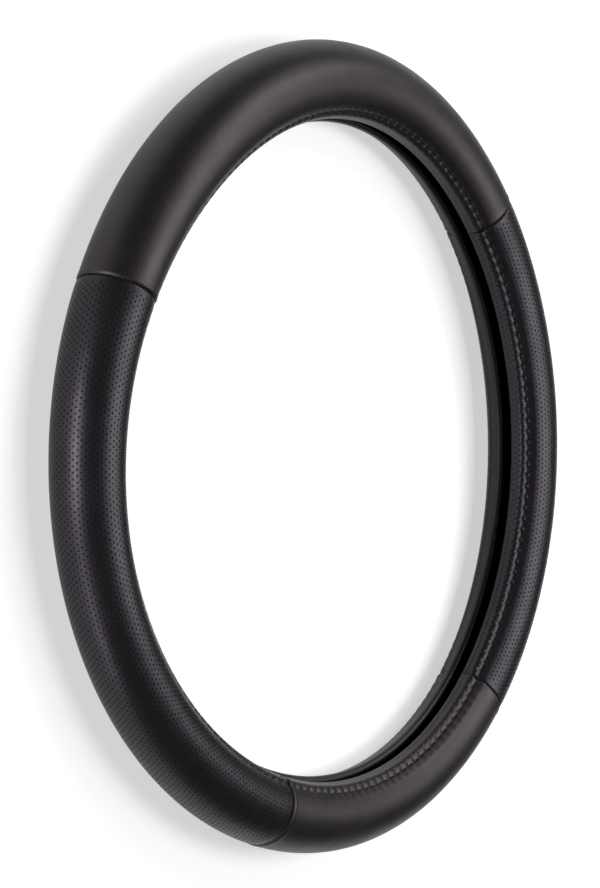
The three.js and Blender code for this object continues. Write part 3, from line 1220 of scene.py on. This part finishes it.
@dataclass(frozen=True)
class StitchRow:
    """A row of stitches laid by Geometry Nodes.

    Each is an arch: its ends go down by the dip, its middle stands up towards the rise, and the
    reach is the share of the half span at which its handles lie. Sizes are in millimetres.
    """

    name: str
    node: str
    thread_radius: float
    dip: float
    rise: float
    reach: float

    def lay(
        self,
        tube: SettledTube,
        rho: float,
        phi: np.ndarray | float,
        theta: np.ndarray | float,
        half: float,
        thread: Thread,
    ) -> bpy.types.Object:
        """Args:
            tube: the ring's shape.
            rho: the stitches' distance from the middle of the tube.
            phi: their angles round the tube.
            theta: their angles round the ring.
            half: half a stitch's span round the ring, in degrees.
            thread: the tree that makes the stitches, and their material.

        Returns:
            The row of stitches.
        """
        middles = tube.place(rho, phi, theta)
        along = tube.place(rho, phi, theta + half) - tube.place(rho, phi, theta - half)
        outward = tube.place(rho + 1, phi, theta) - middles
        mesh = bpy.data.meshes.new(self.name)
        mesh.from_pydata(middles.tolist(), [], [])
        for key, vectors in (("along", along), ("outward", outward)):
            layer = mesh.attributes.new(key, "FLOAT_VECTOR", "POINT")
            layer.data.foreach_set("vector", vectors.ravel())
        piece = add_object(self.name, mesh)
        half_span = float(np.linalg.norm(along, axis=1).mean()) / 2
        values = {
            "Half span": half_span,
            "Thread radius": self.thread_radius * MILLIMETRE,
            "Dip": self.dip * MILLIMETRE,
            "Rise": self.rise * MILLIMETRE,
            "Reach": self.reach * half_span,
            "Material": thread.material,
        }
        bake(piece, thread.tree, values)
        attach(piece, "root")
        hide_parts(self.node)
        return piece


@dataclass(frozen=True)
class Stitching:
    """All the thread of the cover: two hems and four cross seams.

    An arch is a stitch's dip, rise and reach. Sizes are in millimetres, seam_from_hem in degrees.
    """

    tube: SettledTube = SettledTube()
    hem_thread: float = 0.42
    hem_arch: tuple[float, float, float] = (0.9, 0.25, 0.85)
    hem_depth: float = 1.2
    hem_shift: float = 0.3
    stitch_share: float = 0.5
    seam_thread: float = 0.22
    seam_arch: tuple[float, float, float] = (0.5, 0.1, 0.6)
    seam_pitch: float = 1.9
    seam_depth: float = 0.35
    seam_width: float = 1.6
    seam_from_hem: float = 3.0

    def hem(self, hem: Hem, thread: Thread) -> bpy.types.Object:
        """Sews one hem: on top of the leather for a share of each pitch, and below it between.

        Args:
            hem: which of the two.
            thread: the thread.

        Returns:
            The row of stitches.
        """
        tube = self.tube
        theta = (np.arange(tube.stitches) + 0.5) * tube.stitch_pitch
        half = self.stitch_share * tube.stitch_pitch / 2
        phi = hem.value * (tube.stitch_angle + math.degrees(self.hem_shift / tube.tube_radius))
        name = f"{hem.name.lower()}_hem"
        row = StitchRow(f"{name}_stitches", f"{name}_thread", self.hem_thread, *self.hem_arch)
        return row.lay(tube, tube.tube_radius - self.hem_depth, phi, theta, half, thread)

    def seam(self, place: str, theta: float, thread: Thread) -> bpy.types.Object:
        """Sews one cross seam, its short stitches lying across the valley.

        Args:
            place: the seam's name.
            theta: its angle round the ring.
            thread: the thread.

        Returns:
            The row of stitches.
        """
        tube = self.tube
        first = tube.stitch_angle + self.seam_from_hem
        count = round(math.radians(360 - 2 * first) * tube.tube_radius / self.seam_pitch)
        phi = np.linspace(first, 360 - first, count)
        half = math.degrees(self.seam_width / 2 / tube.ring_radius)
        name = f"{place}_seam"
        row = StitchRow(f"{name}_stitches", f"{name}_thread", self.seam_thread, *self.seam_arch)
        return row.lay(tube, tube.tube_radius - self.seam_depth, phi, theta, half, thread)


@dataclass(frozen=True)
class SteeringWheelCover:
    """The whole cover, panel by panel round the ring; seams names where each panel starts."""

    panels: tuple[SkinPanel, ...] = (
        SkinPanel(
            "top", Leather.SMOOTH, 33, 147, gathers=Gathers(crest_height=0.2, bead_height=0.12)
        ),
        SkinPanel(
            "left",
            Leather.PERFORATED,
            147,
            243,
            gathers=Gathers(crest_height=0.3, wrinkle_height=0.0),
            columns_per_stitch=8,
        ),
        SkinPanel(
            "bottom",
            Leather.SMOOTH,
            243,
            305,
            gathers=Gathers(bead_height=0.3, wrinkle_height=0.14),
        ),
        SkinPanel(
            "right",
            Leather.PERFORATED,
            305,
            393,
            gathers=Gathers(bead_height=0.12, pinch=0.45),
            columns_per_stitch=8,
        ),
    )
    seams: tuple[str, ...] = ("upper_right", "upper_left", "lower_left", "lower_right")

    def build(self) -> None:
        """Builds, dresses and declares every piece."""
        leathers = {
            Leather.SMOOTH: SMOOTH_LEATHER.make(),
            Leather.PERFORATED: PERFORATED_LEATHER.make(),
        }
        # The holes' dark material is painted shade inside the perforations.
        edge, rubber, polyester = PAINTED_HOLE_SHADE.make(), LINING_RUBBER.make(), SEWING_THREAD.make()
        lining = RubberLining().build(rubber)
        report(lining)
        for panel in self.panels:
            skin = panel.build(leathers[panel.leather])
            panel.dress(skin, edge)
            panel.declare(skin, lining)
            report(skin)
        stitching, thread = Stitching(), Thread(stitch_tree(), polyester)
        for hem in Hem:
            report(stitching.hem(hem, thread))
        for place, panel in zip(self.seams, self.panels):
            report(stitching.seam(place, panel.start, thread))


def report(piece: bpy.types.Object) -> None:
    """Logs a finished piece and its number of triangles."""
    triangles = sum(len(face.vertices) - 2 for face in piece.data.polygons)
    log.info("%s: %d triangles", piece.name, triangles)


@dataclass(frozen=True)
class Softbox:
    """A square or oblong studio lamp, aimed at the middle of the cover. Sizes are in metres."""

    name: str
    toward: tuple[float, float, float]
    brightness: float
    height: float = 0.7
    width: float = 0.7
    distance: float = 1.6

    def light(self) -> None:
        """Puts the lamp in its place; its brightness is 1 where its own face is white."""
        lamp = bpy.data.lights.new(self.name, "AREA")
        lamp.shape = "RECTANGLE"
        lamp.size, lamp.size_y = self.width, self.height
        lamp.energy = self.brightness * math.pi * self.width * self.height
        item = add_object(self.name, lamp)
        direction = Vector(self.toward).normalized()
        item.location = direction * self.distance
        item.rotation_mode = "QUATERNION"
        item.rotation_quaternion = direction.to_track_quat("Z", "Y")


@dataclass(frozen=True)
class Studio:
    """Camera, lamps and a white paper floor. Sizes are in metres."""

    camera_distance: float = 1.480
    camera_turn: float = 54.66
    ring_turn: float = -10.5
    camera_roll: float = 0.80
    lens: float = 126.48
    aim_right: float = 29.1
    aim_up: float = 4.3
    focal_pixels: float = 3119.8
    middle_height: float = 0.018
    floor_size: float = 40.0
    floor_glow: float = 0.58
    room_brightness: float = 0.05
    softboxes: tuple[Softbox, ...] = (
        Softbox("side_softbox", (-0.983, 0.174, 0.06), 42.0, height=0.18),
        Softbox("low_side_softbox", (-0.86, -0.499, 0.06), 15.0, height=0.18),
        Softbox("overhead_softbox", (0.26, -0.05, 0.963), 6.5),
        Softbox("right_softbox", (0.571, -0.092, 0.816), 5.0),
        Softbox("upper_right_softbox", (0.61, 0.43, 0.665), 6.0),
    )

    def camera(self) -> None:
        """Sets the camera where the photograph was taken from."""
        turn = math.radians(self.camera_turn)
        spin = Matrix.Rotation(math.radians(self.ring_turn), 3, "Z")
        back = spin @ Vector((-math.sin(turn), 0, math.cos(turn)))
        upright = spin @ Vector((0, 1, 0))
        right = (-back).cross(upright).normalized()
        up = right.cross(-back)
        roll = math.radians(self.camera_roll)
        right, up = (
            math.cos(roll) * right + math.sin(roll) * up,
            -math.sin(roll) * right + math.cos(roll) * up,
        )
        ahead = -back - right * (self.aim_right / self.focal_pixels)
        ahead = (ahead + up * (self.aim_up / self.focal_pixels)).normalized()
        right = ahead.cross(up).normalized()
        up = right.cross(ahead)
        lens = bpy.data.cameras.new("photo_camera")
        lens.lens, lens.sensor_width = self.lens, 36.0
        lens.clip_start, lens.clip_end = 0.05, 100.0
        item = add_object("photo_camera", lens)
        place = back * self.camera_distance + Vector((0, 0, self.middle_height))
        item.matrix_world = Matrix.Translation(place) @ (
            Matrix((right, up, -ahead)).transposed().to_4x4()
        )
        bpy.context.scene.camera = item

    def floor(self) -> None:
        """Lays the white paper that the cover lies on."""
        material, tree, shader = new_material("white_studio_paper")
        shader.inputs["Base Color"].default_value = linear("#cbcbcb")
        shader.inputs["Roughness"].default_value = 0.9
        shader.inputs["Specular IOR Level"].default_value = 0.1
        shader.inputs["Emission Color"].default_value = linear("#ffffff")
        path = add_node(tree, "ShaderNodeLightPath")
        seen = path.outputs["Is Camera Ray"]
        for kind in ("Is Glossy Ray", "Is Transmission Ray"):
            inputs = {0: seen, 1: path.outputs[kind]}
            seen = add_node(tree, "ShaderNodeMath", inputs, operation="MAXIMUM").outputs["Value"]
        inputs = {0: seen, 1: self.floor_glow}
        glow = add_node(tree, "ShaderNodeMath", inputs, operation="MULTIPLY")
        tree.links.new(glow.outputs["Value"], shader.inputs["Emission Strength"])
        half = self.floor_size / 2
        mesh = bpy.data.meshes.new("studio_floor")
        corners = [(-half, -half, 0), (half, -half, 0), (half, half, 0), (-half, half, 0)]
        mesh.from_pydata(corners, [], [(0, 1, 2, 3)])
        mesh.materials.append(material)
        add_object("studio_floor", mesh)

    def surroundings(self) -> None:
        """Fills the room with a dim even light."""
        world = bpy.data.worlds.new("studio_room")
        world.use_nodes = True
        background = world.node_tree.nodes["Background"]
        background.inputs["Color"].default_value = linear("#ffffff")
        background.inputs["Strength"].default_value = self.room_brightness
        bpy.context.scene.world = world

    def build(self) -> None:
        """Sets up the whole studio."""
        self.camera()
        self.floor()
        self.surroundings()
        for softbox in self.softboxes:
            softbox.light()
        bpy.context.scene.view_settings.view_transform = "Standard"


def main() -> None:
    """Builds the cover and the studio round it."""
    logging.basicConfig(level=logging.INFO, format="%(name)s: %(message)s")
    SteeringWheelCover().build()
    Studio().build()


if __name__ == "__main__":
    main()
